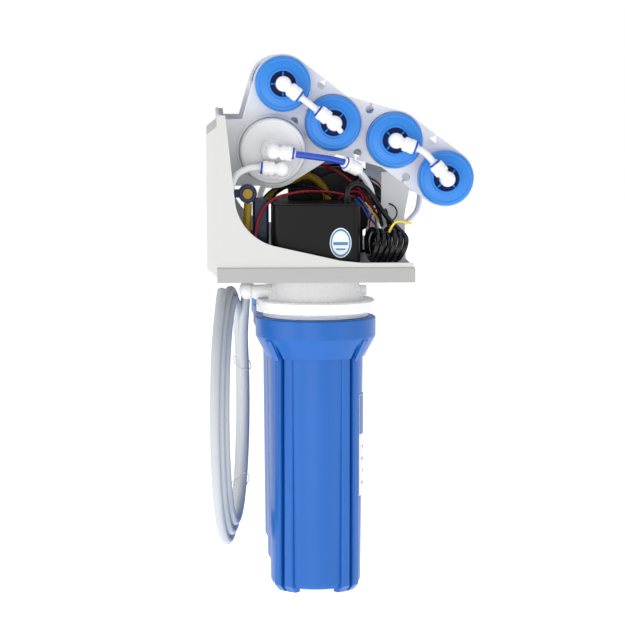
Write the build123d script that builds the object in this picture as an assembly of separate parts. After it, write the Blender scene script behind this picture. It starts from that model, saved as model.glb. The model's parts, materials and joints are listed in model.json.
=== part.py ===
from build123d import *
import math
import os

# Wall-hung reverse osmosis unit, in millimetres.
# X runs along the row of housings, the wall plane is Y = 0, the front is -Y and Z is up.
# The origin is midway between the two wall screw holes, on the wall plane.

# --- chassis ---------------------------------------------------------------------------
HALF_WIDTH = 195.0
SHEET = 1.5
PLATE_Y = -10.0
TRAY_FRONT = -200.0
SHELF_Z = -115.4
TRAY_BOTTOM = -130.0
PLATE_TOP = 29.0
PAN_HALF_X, PAN_LOW_Z, PAN_HIGH_Z, PAN_BEVEL = 180.0, -126.0, 19.0, 8.0
WALL_HOLE_X, WALL_HOLE_R = 150.0, 3.25
LIP = 10.0
PANEL_INSET = 1.5
PANEL_FRONT = TRAY_FRONT + PANEL_INSET
INNER_PLATE_Y = PLATE_Y - SHEET

# --- housings --------------------------------------------------------------------------
PITCH = 125.0
HOUSING_X = (-PITCH, 0.0, PITCH)
HOUSING_Y = -107.0
HEAD_TOP = SHELF_Z - SHEET
FLANGE_R, FLANGE_TOP, FLANGE_LOW = 58.5, -151.2, -162.7
COLLAR_R, COLLAR_TOP, COLLAR_LOW = 59.3, -168.3, -188.0
THREAD_R, THREAD_GAP = 49.0, 0.4
CONE_LOW = -207.4
BODY_TOP_R, BODY_LOW_R, BORE_R, RIB_R, GROOVE = 46.7, 44.5, 39.5, 48.7, 4.2
SUMP_LOW = -437.0
SUMP_FLOOR = -431.0
O_RING_R, O_RING_SECTION, O_RING_Z = 44.6, 2.0, -190.6
CARTRIDGE_R, CARTRIDGE_BORE = 31.5, 14.2
CARTRIDGE_LOW, CARTRIDGE_TOP = -427.0, -177.0
SPIGOT_R = 12.5
PORT_Z, ELBOW_Y = -144.0, -40.0

# --- in-line filters, membrane and their clip plates -------------------------------------
FILTERS = ((-74.5, 59.6), (-123.7, 21.6), (-183.8, 4.7), (-233.7, -32.4))
MEMBRANE = (-64.3, -5.4)
CAP_R, FILTER_R, FILTER_HALF, CAP_LENGTH = 27.15, 25.0, 150.0, 20.0
MEMBRANE_R, MEMBRANE_END_R, MEMBRANE_CAP_R = 31.0, 32.0, 36.0
CLIP_OUT, CLIP_PLATE, CLIP_DEPTH = 129.0, 3.0, 12.0
CLIP_RIM, MEMBRANE_RIM, CLIP_GAP = 28.8, 37.0, 0.4
KEYHOLE_R, KEYHOLE_REACH, SLIT = 4.0, 22.0, 2.2

# --- push-fit tube and elbows --------------------------------------------------------------
TUBE_R, SOCKET_R, SOCKET_DEPTH = 3.175, 3.3, 14.0
ELBOW_X, ELBOW_REACH, BALL_R = 160.0, 22.0, 7.6

# --- pump, transformer and valves ------------------------------------------------------------
PUMP_Y, PUMP_Z, CAN_R = -131.0, -57.0, 34.0
PUMP_HEAD_X, CAN_START, CAN_END = -70.0, -12.0, 100.0
ROTOR_R, SHAFT_R, SHAFT_GAP = 22.0, 4.0, 0.05
BOX_X0, BOX_X1, BOX_Y0, BOX_Y1 = -182.5, -92.5, -147.8, -63.6
BOX_LOW, BOX_TOP = -112.4, -55.4
VALVE_X, VALVE_Y = -84.0, -50.0

# --- free cord and hose -----------------------------------------------------------------------
LEAD_D, HOSE_D, WIRE_D, YELLOW_D = 5.0, 9.5, 2.4, 8.0
LEAD_ROUTE = ((-158.0, -136.0, -49.4), (-158.0, -136.0, -38.0), (-158.0, -146.0, -28.0), (-157.0, -160.0, -33.0),
              (-156.5, -170.0, -47.0), (-156.0, -173.0, -62.0), (-156.0, -173.0, -77.2))
PLUG_ROUTE = ((-128.5, -161.0, -105.0), (-115.0, -161.0, -105.0), (-100.0, -170.0, -104.5), (-86.0, -183.0, -106.0),
              (-72.0, -183.0, -106.0))
HOSE_ROUTE = ((-98.0, -40.0, -144.0), (-84.0, -40.0, -144.0), (-71.0, -39.6, -147.5))
HANK_X0, HANK_X1, HANK_Y, HANK_Z, HANK_HALF_Y, HANK_HALF_Z = -192.0, -128.5, -173.5, -95.4, 22.5, 18.2


def about_x(point):
    """Plane whose normal is +X through (x, y, z); its own x is Y and its own y is Z."""
    return Plane(origin=point, x_dir=(0, 1, 0), z_dir=(1, 0, 0))


def disc_x(x0, x1, y, z, radius):
    """Cylinder along X from x0 to x1."""
    return extrude(about_x((x0, y, z)) * Circle(radius), amount=x1 - x0)


def ring_x(x0, x1, y, z, outer, inner):
    """Ring along X."""
    return extrude(about_x((x0, y, z)) * (Circle(outer) - Circle(inner)), amount=x1 - x0)


def block(x0, x1, y0, y1, z0, z1):
    """Box between two corners."""
    return Pos((x0 + x1) / 2, (y0 + y1) / 2, (z0 + z1) / 2) * Box(x1 - x0, y1 - y0, z1 - z0)


def rod(start, end, radius):
    """Cylinder between two points."""
    axis = Vector(*end) - Vector(*start)
    return extrude(Plane(origin=start, z_dir=axis.normalized()) * Circle(radius), amount=axis.length)


def turned(points, centre=(0, 0, 0)):
    """Solid of revolution about the Z line through centre, from (radius, height) points."""
    face = make_face(Plane.XZ * Polyline(*points, close=True))
    return Pos(*centre) * revolve(face, Axis.Z)


def turned_x(points, y, z):
    """Solid of revolution about the X line through (y, z), from (x, radius) points."""
    face = make_face(Polyline(*points, close=True))
    return Pos(0, y, z) * revolve(face, Axis.X)


def corner_radii(points):
    """As large a bend at each corner as its two runs leave room for."""
    radii = []
    for before, here, after in zip(points, points[1:], points[2:]):
        first = Vector(*here) - Vector(*before)
        second = Vector(*after) - Vector(*here)
        half_turn = math.radians(first.get_angle(second)) / 2
        radii.append(0.45 * min(first.length, second.length) / math.tan(half_turn))
    return radii


def tube(name, points, diameter):
    """Solid tube of straight runs and tangent arcs through the points."""
    radii = corner_radii(points)
    print(name, "bend radii", [round(r, 1) for r in radii])
    path = FilletPolyline(*points, radius=radii) if radii else Line(*points)
    start = Vector(*points[1]) - Vector(*points[0])
    section = Plane(origin=points[0], z_dir=start.normalized()) * Circle(diameter / 2)
    solid = sweep(section, path=path)
    expected = math.pi * diameter ** 2 / 4 * path.length
    print(name, "volume ratio", round(solid.volume / expected, 3), "length", round(path.length))
    return solid


def save(name, *solids):
    """Write one node, made of one or more separate solids."""
    shape = solids[0] if len(solids) == 1 else Compound(children=list(solids))
    shape.label = name
    export_step(shape, f"parts/{name}.step")


# --- chassis -------------------------------------------------------------------------------

def pan_block(depth_y, inset):
    """Tapered block of the raised pan, from the plate out to depth_y."""
    mid_z = (PAN_LOW_Z + PAN_HIGH_Z) / 2
    wide = 2 * PAN_HALF_X - 2 * inset
    tall = PAN_HIGH_Z - PAN_LOW_Z - 2 * inset
    base = Plane.XZ.offset(-depth_y[0]) * Pos(0, mid_z) * Rectangle(wide, tall)
    crown = Plane.XZ.offset(-depth_y[1]) * Pos(0, mid_z) * Rectangle(wide - 2 * PAN_BEVEL, tall - 2 * PAN_BEVEL)
    return loft([base, crown])


def back_plate():
    """Rear sheet with a raised pan that bears on the wall, and a rolled top edge."""
    half = HALF_WIDTH - SHEET - PANEL_INSET
    plate = block(-half, half, INNER_PLATE_Y, PLATE_Y, TRAY_BOTTOM, PLATE_TOP)
    plate += pan_block((PLATE_Y, 0.0), 0.0)
    plate -= pan_block((INNER_PLATE_Y, -SHEET), SHEET)
    plate += disc_x(-half, half, INNER_PLATE_Y, PLATE_TOP, 2.0)
    for x in (-WALL_HOLE_X, WALL_HOLE_X):
        plate -= rod((x, 1, 0), (x, -SHEET - 1, 0), WALL_HOLE_R)
    return plate


def tray():
    """Shelf with a turned-down rim, open underneath, with tube holes near the back."""
    rim = block(-HALF_WIDTH, HALF_WIDTH, TRAY_FRONT, PLATE_Y, TRAY_BOTTOM, SHELF_Z)
    rolled = [e for e in rim.edges().group_by(Axis.Z)[-1] if abs(e.center().Y - PLATE_Y) > 1]
    rim = fillet(rolled, 1.3)
    rim -= block(-HALF_WIDTH + SHEET, HALF_WIDTH - SHEET, TRAY_FRONT + SHEET, 0, TRAY_BOTTOM - 1, SHELF_Z - SHEET)
    rim -= block(-HALF_WIDTH + SHEET, HALF_WIDTH - SHEET, INNER_PLATE_Y, 0, TRAY_BOTTOM - 1, SHELF_Z + 1)
    for x, y in ((-160.0, -40.0), (-171.0, -22.0), (-30.0, -28.0), (60.0, -28.0)):
        rim -= rod((x, y, SHELF_Z + 1), (x, y, HEAD_TOP - 1), 6.0)
    return rim


def side_panel():
    """Near side gusset: tall at the wall, sweeping down to a low lip at the front."""
    outline = Polyline((PLATE_Y, SHELF_Z), (PLATE_Y, 30.0), (-18.0, 30.0), (-31.0, -87.3), (-128.0, -109.0),
                       (-148.0, -111.0), (PANEL_FRONT, -111.0), (PANEL_FRONT, SHELF_Z), close=True)
    face = make_face(Plane.YZ * outline)
    sharp = [v for v in face.vertices() if abs(v.Y + 31.0) < 0.1 and abs(v.Z + 87.3) < 0.1]
    face = fillet(sharp, 50.0)
    outer = -HALF_WIDTH + PANEL_INSET
    panel = Pos(outer, 0, 0) * extrude(face, amount=SHEET, dir=(1, 0, 0))
    inner = outer + SHEET
    foot = block(inner, inner + LIP, TRAY_FRONT + 4, INNER_PLATE_Y - 4, SHELF_Z, SHELF_Z + SHEET)
    rear = block(inner, inner + LIP, INNER_PLATE_Y - SHEET, INNER_PLATE_Y, SHELF_Z + 2, 24.0)
    return panel + foot + rear


def upright():
    """Flat strut from the tray to the near clip plate, with a foot."""
    x0 = -CLIP_OUT + CLIP_PLATE
    outline = Polyline((-171.5, SHELF_Z), (-171.5, -27.0), (-199.0, -27.0), (-199.0, -44.0),
                       (-194.5, -69.0), (-196.0, SHELF_Z), close=True)
    strut = Pos(x0, 0, 0) * extrude(make_face(Plane.YZ * outline), amount=SHEET, dir=(1, 0, 0))
    return strut + block(x0 + SHEET, x0 + SHEET + 12, -196, -171.5, SHELF_Z, SHELF_Z + SHEET)


def screw_down(x, y, z):
    """Pan-head screw standing on a face at height z, with a cross recess."""
    head = Pos(x, y, z + 1.1) * Cylinder(3.4, 2.2)
    head -= Pos(x, y, z + 2.0) * (Box(4.0, 0.8, 1.6) + Box(0.8, 4.0, 1.6))
    return head


def screws():
    """Screw heads that hold panels, heads and uprights to the shelf."""
    spots = [(sx * 188.0, y, SHELF_Z + SHEET) for sx in (-1, 1) for y in (-30.0, -85.0, -140.0)]
    spots += [(sx * (CLIP_OUT - CLIP_PLATE - SHEET - 6.5), -184.0, SHELF_Z + SHEET) for sx in (-1, 1)]
    for x in HOUSING_X:
        spots += [(x + dx, HOUSING_Y + dy, SHELF_Z) for dx in (-18, 18) for dy in (-28, 28)]
    return [screw_down(*spot) for spot in spots]


# --- housings ------------------------------------------------------------------------------

def head(x):
    """White housing head: threaded skirt, flange, tapered neck, port bosses and spigot."""
    shell = turned([(0, HEAD_TOP), (38, HEAD_TOP), (41, -131), (47.5, FLANGE_TOP), (57.0, FLANGE_TOP),
                    (FLANGE_R, FLANGE_TOP - 1.5), (FLANGE_R, FLANGE_LOW), (50.0, FLANGE_LOW),
                    (50.0, COLLAR_TOP + 0.6), (THREAD_R, COLLAR_TOP + 0.6), (THREAD_R, COLLAR_LOW),
                    (42.0, COLLAR_LOW), (42.0, -158), (16.0, -152), (SPIGOT_R, -160), (SPIGOT_R, -183),
                    (8.0, -183), (8.0, -150), (0, -150)], (x, HOUSING_Y, 0))
    for level in range(3):
        z = COLLAR_TOP - 4 - 4.5 * level
        groove = Cylinder(THREAD_R + 2, 1.6) - Cylinder(THREAD_R - 1.1, 1.6)
        shell -= Pos(x, HOUSING_Y, z) * groove
    shell += rod((x, HOUSING_Y, -143), (x, HOUSING_Y - 50.0, -143), 5.0)
    if x == HOUSING_X[0]:
        shell -= rod((x, HOUSING_Y + 32, PORT_Z), (x, HOUSING_Y + 60, PORT_Z), 6.6)
    return shell


def sump_ribs(x):
    """Four pairs of ribs; those beside the panels that face along X stop at the cone."""
    made = []
    for quarter in range(4):
        for side in (-1, 1):
            angle = 45 + 90 * quarter + 8.6 * side
            faces_x = abs(math.cos(math.radians(angle))) > abs(math.sin(math.radians(angle)))
            top = -205.0 if faces_x else -191.0
            low = SUMP_LOW - 1.5
            plan = Pos(RIB_R - 8, 0) * RectangleRounded(16.0, 9.6, 2.4)
            side_view = make_face(Plane.XZ * Polyline((30, low), (RIB_R - 7, low), (RIB_R, low + 7),
                                                      (RIB_R, top), (30, top), close=True))
            rib = Pos(0, 0, low) * extrude(plan, amount=top - low)
            rib &= extrude(side_view, amount=8.0, both=True)
            if not faces_x:
                brace = make_face(Plane.XZ * Polyline((44, -210), (RIB_R, -210), (59.0, -190.5), (59.0, -188.2),
                                                      (44, -188.2), close=True))
                rib += extrude(brace, amount=4.0, both=True)
            made.append(Pos(x, HOUSING_Y, 0) * Rot(0, 0, angle) * rib)
    return made


def sump(x):
    """Blue sump: threaded collar, cone, gently tapered ribbed body and a floor spigot."""
    outer = turned([(0, SUMP_LOW + 2), (BODY_LOW_R - 5, SUMP_LOW + 2), (BODY_LOW_R - 1.4, SUMP_LOW + 3.5),
                    (BODY_LOW_R, SUMP_LOW + 7), (BODY_TOP_R, CONE_LOW), (48.6, CONE_LOW),
                    (COLLAR_R - 0.6, COLLAR_LOW - 0.6), (COLLAR_R, COLLAR_LOW + 1), (COLLAR_R, COLLAR_TOP - 1.2),
                    (COLLAR_R - 1.2, COLLAR_TOP), (0, COLLAR_TOP)], (x, HOUSING_Y, 0))
    for rib in sump_ribs(x):
        outer += rib
    for quarter in range(4):
        cut = make_face(Plane.XZ * Polyline((43, SUMP_LOW - 4), (64, SUMP_LOW - 4), (64, -189.6), (58.4, -189.6),
                                            (43.0, -209.0), close=True))
        groove = extrude(cut, amount=GROOVE / 2, both=True)
        outer -= Pos(x, HOUSING_Y, 0) * Rot(0, 0, 45 + 90 * quarter) * groove
    bore_r = THREAD_R + THREAD_GAP
    hollow = turned([(SPIGOT_R - 4, SUMP_FLOOR), (BORE_R - 3, SUMP_FLOOR), (BORE_R, SUMP_FLOOR + 3),
                     (BORE_R, -195), (O_RING_R - 2.2, -192.8), (O_RING_R + 2.2, -192.8), (O_RING_R + 2.2, -189.2),
                     (bore_r, -188.6), (bore_r, COLLAR_TOP + 1), (0, COLLAR_TOP + 1), (0, SUMP_FLOOR + 8),
                     (SPIGOT_R - 4, SUMP_FLOOR + 8)], (x, HOUSING_Y, 0))
    outer -= hollow
    return outer


def cartridge(x):
    """Filter cartridge: wound or moulded sleeve with a gasket ring at each end."""
    return turned([(CARTRIDGE_BORE, CARTRIDGE_LOW), (30.0, CARTRIDGE_LOW), (30.0, CARTRIDGE_LOW + 3),
                   (CARTRIDGE_R, CARTRIDGE_LOW + 3), (CARTRIDGE_R, CARTRIDGE_TOP - 3), (30.0, CARTRIDGE_TOP - 3),
                   (30.0, CARTRIDGE_TOP), (CARTRIDGE_BORE, CARTRIDGE_TOP)], (x, HOUSING_Y, 0))


def label_patch():
    """Plain label wrapped on the front panel of the near sump."""
    radius = BODY_TOP_R + 0.05
    ring = Pos(HOUSING_X[0], HOUSING_Y, -295.0) * (Cylinder(radius + 0.35, 100.0) - Cylinder(radius, 100.0))
    return ring & block(HOUSING_X[0] - 21, HOUSING_X[0] + 21, HOUSING_Y - 60, HOUSING_Y, -345, -245)


def coupler(x):
    """Nipple between two neighbouring heads."""
    nipple = ring_x(x - 20.0, x + 20.0, HOUSING_Y, -141.0, 8.0, 5.0)
    nipple += extrude(about_x((x - 5, HOUSING_Y, -141.0)) * RegularPolygon(9.9, 6), amount=10.0)
    return nipple - disc_x(x - 21, x + 21, HOUSING_Y, -141.0, 5.0)


def hose_elbow():
    """Elbow in the near head's rear port; its mouth faces along the row."""
    x = HOUSING_X[0]
    body = rod((x, HOUSING_Y + 41, PORT_Z), (x, ELBOW_Y, PORT_Z), 6.5)
    body += Pos(x, ELBOW_Y, PORT_Z) * Rot(0, 0, 180) * Sphere(8.0)
    return body + rod((x, ELBOW_Y, PORT_Z), (HOSE_ROUTE[0][0], ELBOW_Y, PORT_Z), 8.0)


# --- in-line filters and membrane ----------------------------------------------------------

def filter_body(y, z):
    """Hollow in-line filter tube."""
    half = FILTER_HALF - CAP_LENGTH
    return ring_x(-half, half, y, z, FILTER_R, FILTER_R - 2.5)


def filter_cap(y, z, turn):
    """Near end cap: rounded rim, raised lip, annular pocket crossed by four spokes, centre boss."""
    end = -FILTER_HALF
    cap = turned_x([(end + 1.0, 0), (end + 1.0, 20.0), (end + 1.4, 23.5), (end + 3.0, 26.0), (end + 6.0, CAP_R),
                    (end + CAP_LENGTH, CAP_R), (end + CAP_LENGTH, 0)], y, z)
    cap += ring_x(end, end + 2, y, z, 15.0, 12.4)
    cap -= ring_x(end - 1, end + 8, y, z, 12.4, 7.8)
    for step in range(4):
        spoke = Pos(end + 5, 0, 0) * Rot(turn + 90 * step, 0, 0) * Pos(0, 10.1, 0) * Box(7.0, 4.8, 1.2)
        cap += Pos(0, y, z) * spoke
    return cap


def mirrored(solid):
    """The same solid reflected across the middle of the row."""
    return mirror(solid, about=Plane.YZ)


def membrane_housing():
    """White membrane housing: closed near end with a stepped rim, open far end."""
    y, z = MEMBRANE
    tube_wall = turned_x([(-150, 0), (-150, 27.5), (-149, 29.0), (-147, 29.5), (-147, 31.0), (-145.5, MEMBRANE_END_R),
                          (-130, MEMBRANE_END_R), (-130, MEMBRANE_R), (140, MEMBRANE_R), (140, 27.5),
                          (-144, 27.5), (-144, 0)], y, z)
    tube_wall += disc_x(-151.4, -149, y, z, 10.5)
    return tube_wall + disc_x(-151.4, -149, -72.9, -23.1, 9.0)


def membrane_cap():
    """Screw cap with grip ribs on the far end of the membrane housing."""
    y, z = MEMBRANE
    cap = turned_x([(130.5, MEMBRANE_R + 0.2), (130.5, 35.0), (131.5, MEMBRANE_CAP_R - 1), (147, MEMBRANE_CAP_R - 1),
                    (149, 33.0), (149, 0), (141, 0), (141, MEMBRANE_R + 0.2)], y, z)
    for step in range(24):
        rib = Pos(139, 0, 0) * Rot(15 * step, 0, 0) * Pos(0, MEMBRANE_CAP_R - 1, 0) * Box(14.0, 2.0, 3.0)
        cap += Pos(0, y, z) * rib
    return cap


def membrane_element():
    """Rolled membrane on its permeate tube."""
    y, z = MEMBRANE
    return ring_x(-138, 128, y, z, 22.5, 8.5) + ring_x(-142, 134, y, z, 8.5, 5.0)


def hull_of_discs(a, b, ra, rb):
    """Flat outline that wraps two discs given by centre and radius."""
    first, second = Vector(*a), Vector(*b)
    along = (second - first).normalized()
    normal = Vector(-along.Y, along.X)
    corners = [first + normal * ra, second + normal * rb, second - normal * rb, first - normal * ra]
    band = make_face(Polyline(*[(c.X, c.Y) for c in corners], close=True))
    return band + Pos(*a) * Circle(ra) + Pos(*b) * Circle(rb)


def keyhole(a, b, side):
    """Round hole with a slit to the edge, midway between two filters."""
    first, second = Vector(*a), Vector(*b)
    along = (second - first).normalized()
    normal = Vector(-along.Y, along.X) * side
    mid = (first + second) * 0.5 + normal * KEYHOLE_REACH
    turn = math.degrees(math.atan2(normal.Y, normal.X))
    return Pos(mid.X, mid.Y) * (Circle(KEYHOLE_R) + Rot(0, 0, turn) * Pos(10, 0) * Rectangle(20, SLIT))


def clip_plate():
    """Near rack plate: holds the membrane and the four filters, and screws to the back plate."""
    flat = Pos(-38.0, -7.5) * Rectangle(53.0, 65.0)
    for a, b in zip(FILTERS, FILTERS[1:]):
        flat += hull_of_discs(a, b, CLIP_RIM, CLIP_RIM)
    for a in FILTERS[:2]:
        flat += hull_of_discs(MEMBRANE, a, MEMBRANE_RIM, CLIP_RIM)
    for a, b in zip(FILTERS, FILTERS[1:]):
        flat -= keyhole(a, b, 1)
        flat -= keyhole(a, b, -1)
    bores = [(c, FILTER_R + CLIP_GAP) for c in FILTERS] + [(MEMBRANE, MEMBRANE_R + CLIP_GAP)]
    for centre, radius in bores:
        flat -= Pos(*centre) * Circle(radius)
    plate = extrude(about_x((-CLIP_OUT, 0, 0)) * flat, amount=CLIP_PLATE)
    for (y, z), radius in bores:
        plate += ring_x(-CLIP_OUT, -CLIP_OUT + CLIP_DEPTH, y, z, radius + 2.4, radius)
    return plate + block(-CLIP_OUT, -CLIP_OUT + CLIP_DEPTH, INNER_PLATE_Y - 2.5, INNER_PLATE_Y, -40, 25)


# --- push-fit fittings and tubes -----------------------------------------------------------

def toward(a, b):
    """Unit direction in the YZ plane from a to b."""
    step = Vector(0, b[0] - a[0], b[1] - a[1])
    return step.normalized()


def below(degrees, sign=-1):
    """Unit direction in the YZ plane, so many degrees from -Y (sign -1) or +Y (sign 1)."""
    return Vector(0, sign * math.cos(math.radians(degrees)), -sign * -math.sin(math.radians(degrees)))


def mouth(centre, x, direction):
    """Point where an elbow's tube socket opens."""
    return Vector(x, centre[0], centre[1]) + direction * ELBOW_REACH


def elbow(centre, x, direction):
    """Push-fit elbow: stem into the port, ball, arm and nut with a tube socket."""
    inward = 1 if x < 0 else -1
    middle = Vector(x, centre[0], centre[1])
    body = Pos(*middle) * Rot(0, 0, 90 + 90 * inward) * Sphere(BALL_R)
    body += rod(tuple(middle), (x + inward * 8.6, centre[0], centre[1]), 5.6)
    nut_start = middle + direction * 7.5
    nut_end = middle + direction * 18.5
    body += rod(tuple(middle), tuple(nut_end), 5.4)
    body += rod(tuple(nut_start), tuple(nut_end), 6.9)
    end = middle + direction * ELBOW_REACH
    body += rod(tuple(nut_end), tuple(end), 4.4)
    return body - rod(tuple(middle + direction * (ELBOW_REACH - SOCKET_DEPTH)), tuple(end + direction), SOCKET_R)


def lock_clip(centre, x, direction):
    """Thin C-shaped clip under the collet's rim."""
    middle = Vector(x, centre[0], centre[1])
    seat = Plane(origin=tuple(middle + direction * 18.9), z_dir=direction)
    ring = Circle(6.2) - Circle(4.6)
    return extrude(seat * (ring - Pos(6, 0) * Rectangle(8, 7)), amount=1.8)


def link(name, centre_a, dir_a, centre_b, dir_b, x):
    """Tube between two elbow mouths, bent once where their lines meet."""
    start = Vector(x, centre_a[0], centre_a[1]) + dir_a * (ELBOW_REACH - 12)
    end = Vector(x, centre_b[0], centre_b[1]) + dir_b * (ELBOW_REACH - 12)
    cross = dir_a.Y * dir_b.Z - dir_a.Z * dir_b.Y
    if abs(cross) < 1e-6:
        return tube(name, [tuple(start), tuple(end)], 2 * TUBE_R)
    gap = end - start
    reach = (gap.Y * dir_b.Z - gap.Z * dir_b.Y) / cross
    corner = start + dir_a * reach
    return tube(name, [tuple(start), tuple(corner), tuple(end)], 2 * TUBE_R)


# --- pump, transformer, valves -------------------------------------------------------------

def pump_head():
    """Pump head: square body on a round flange, with a port on each side."""
    x0, x1 = PUMP_HEAD_X, CAN_START
    body = block(x0 + 14, x1 - 8, PUMP_Y - 32, PUMP_Y + 32, PUMP_Z - 32, PUMP_Z + 32)
    body = fillet(body.edges().filter_by(Axis.X), 8.0)
    body += disc_x(x0, x0 + 15, PUMP_Y, PUMP_Z, 27.0) + disc_x(x1 - 10, x1, PUMP_Y, PUMP_Z, CAN_R)
    for angle in (45, 135, 225, 315):
        dy = 24 * math.cos(math.radians(angle))
        dz = 24 * math.sin(math.radians(angle))
        body += disc_x(x0 + 8, x0 + 15, PUMP_Y + dy, PUMP_Z + dz, 5.0)
    cover = block(x0 + 2, x0 + 19, -108, -82, -89, -31)
    body += fillet(cover.edges().filter_by(Axis.X), 9.0)
    body += block(x0 - 10, x0 + 1, -127, -117, -86, -76)
    body += rod((-44, PUMP_Y + 30, PUMP_Z), (-44, PUMP_Y + 44, PUMP_Z), 6.0)
    return body - disc_x(x1 - 22, x1 + 1, PUMP_Y, PUMP_Z, SHAFT_R + SHAFT_GAP)


def pump_motor_can():
    """Motor can, closed at the far end with a bearing hub."""
    can = ring_x(CAN_START, CAN_END, PUMP_Y, PUMP_Z, CAN_R, CAN_R - 3)
    can += ring_x(CAN_END - 4, CAN_END, PUMP_Y, PUMP_Z, CAN_R, SHAFT_R + SHAFT_GAP)
    return can + ring_x(CAN_END, CAN_END + 6, PUMP_Y, PUMP_Z, 10.0, SHAFT_R + SHAFT_GAP)


def pump_rotor():
    """Armature on its shaft, with an off-centre hub that works the diaphragm."""
    rotor = disc_x(CAN_START - 18, CAN_END + 4, PUMP_Y, PUMP_Z, SHAFT_R)
    rotor += disc_x(10, 70, PUMP_Y, PUMP_Z, ROTOR_R) + disc_x(76, 88, PUMP_Y, PUMP_Z, 9.0)
    return rotor + disc_x(CAN_START + 4, CAN_START + 12, PUMP_Y + 3, PUMP_Z, 12.0)


def pump_bracket():
    """Cradle under the motor with two feet on the shelf."""
    cradle = block(0, 84, PUMP_Y - 30, PUMP_Y + 30, SHELF_Z + 3, PUMP_Z - 22)
    cradle -= disc_x(-1, 85, PUMP_Y, PUMP_Z, CAN_R)
    cradle -= block(-1, 85, PUMP_Y - 22, PUMP_Y + 22, SHELF_Z + 2, PUMP_Z - 40)
    for side in (-1, 1):
        cradle += block(0, 84, PUMP_Y + side * 34 - 12, PUMP_Y + side * 34 + 12, SHELF_Z, SHELF_Z + 3)
    return cradle


def transformer_case():
    """Black moulded case with rounded upright edges, on four feet."""
    case = block(BOX_X0, BOX_X1, BOX_Y0, BOX_Y1, BOX_LOW, BOX_TOP)
    case = fillet(case.edges().filter_by(Axis.Z), 7.0)
    case = fillet(case.edges().filter_by(Plane.XY).group_by(Axis.Z)[-1], 1.6)
    case -= block(BOX_X0 + 3, BOX_X1 - 3, BOX_Y0 + 3, BOX_Y1 - 3, BOX_LOW + 3, BOX_TOP - 3)
    for x in (BOX_X0 + 10, BOX_X1 - 10):
        for y in (BOX_Y0 + 5, BOX_Y1 - 5):
            case += rod((x, y, SHELF_Z), (x, y, BOX_LOW), 4.0)
    exit_x, exit_y, exit_z = LEAD_ROUTE[0]
    return case + rod((exit_x, exit_y, BOX_TOP - 1), (exit_x, exit_y, exit_z), 4.2)


def transformer_core():
    """Laminated core with its winding, inside the case."""
    mid_y = (BOX_Y0 + BOX_Y1) / 2
    core = block(-168, -108, mid_y - 28, mid_y + 28, BOX_LOW + 3.5, BOX_TOP - 6)
    core -= block(-156, -120, mid_y - 20, mid_y + 20, BOX_LOW, BOX_TOP)
    return core + block(-156, -120, mid_y - 8, mid_y + 8, BOX_LOW + 3.5, BOX_TOP - 6)


def transformer_sticker():
    """Plain oval sticker on the near face of the case."""
    return extrude(about_x((BOX_X0 - 0.3, -128.7, -92.5)) * Ellipse(10.4, 14.4), amount=0.3)


def solenoid_body():
    """Inlet valve: brass-coloured block, coil housing and a hose port; bored for the plunger."""
    x, y = VALVE_X, VALVE_Y
    body = block(x - 12, x + 12, y - 10, y + 10, SHELF_Z, SHELF_Z + 20)
    coil = block(x - 9, x + 9, y - 9, y + 9, SHELF_Z + 20, SHELF_Z + 30)
    body += coil
    body -= rod((x, y, SHELF_Z + 10), (x, y, SHELF_Z + 26), 4.05)
    return body


def valve_box():
    """Dark blue box of the low-pressure switch beside the transformer."""
    box = block(-152, -118, -60.5, -45.0, SHELF_Z, -52.0)
    return fillet(box.edges().filter_by(Axis.Z), 2.5)


def switch_collar():
    """Navy round fitting that the near yellow hose hangs from, on a bracket off the back plate."""
    collar = disc_x(-168, -154, -39.7, -46.0, 9.0)
    return collar + block(-160, -156, -39.7, INNER_PLATE_Y, -50, -42)


def high_switch():
    """Pressure switch on the pure-water line."""
    body = disc_x(-108, -84, -163.0, -50.0, 11.0) + disc_x(-112, -78, -163.0, -50.0, 6.0)
    return body - disc_x(-113, -103, -163.0, -50.0, SOCKET_R) - disc_x(-87, -77, -163.0, -50.0, SOCKET_R)


def union_fitting():
    """Straight union with a check valve, between the blue tube and the switch tube."""
    start, end = Vector(-158, -131, -13.0), Vector(-143, -146, -24.0)
    along = (end - start).normalized()
    body = rod(tuple(start), tuple(end), 4.6) + rod(tuple(start + along * 3.5), tuple(end - along * 3.5), 6.8)
    return body - rod(tuple(start - along), tuple(end + along), SOCKET_R)


def connector():
    """Small wire connector between transformer and pump leads."""
    shell = Pos(-99, -158, -31) * Rot(20, 30, 60) * Box(14.0, 8.0, 6.0)
    return shell


def hank_block(x0, x1, y, z, half_y, half_z, corner):
    """Rounded bar of the outer shape of a tied hank lying along X."""
    return extrude(about_x((x0, y, z)) * RectangleRounded(2 * half_y, 2 * half_z, corner), amount=x1 - x0)


def plug():
    """Two-pin mains plug lying beside the hank."""
    body = block(-72, -38, -194, -172, SHELF_Z, SHELF_Z + 18)
    body = fillet(body.edges().filter_by(Axis.X), 5.0)
    for y in (-189.5, -176.5):
        body += rod((-38, y, SHELF_Z + 9), (-20, y, SHELF_Z + 9), 2.0)
    return body


def hose_coil():
    """Outer shape of the hose coil that hangs edge-on between the wall and the sumps."""
    ring = Ellipse(103.0, 138.5) - Ellipse(74.0, 109.0)
    yaw = Plane(origin=(-84.0, -23.0, -270.5), x_dir=(0.9902, -0.1400, 0), z_dir=(-0.1400, -0.9902, 0))
    return extrude(yaw * ring, amount=9.5, both=True)


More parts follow.
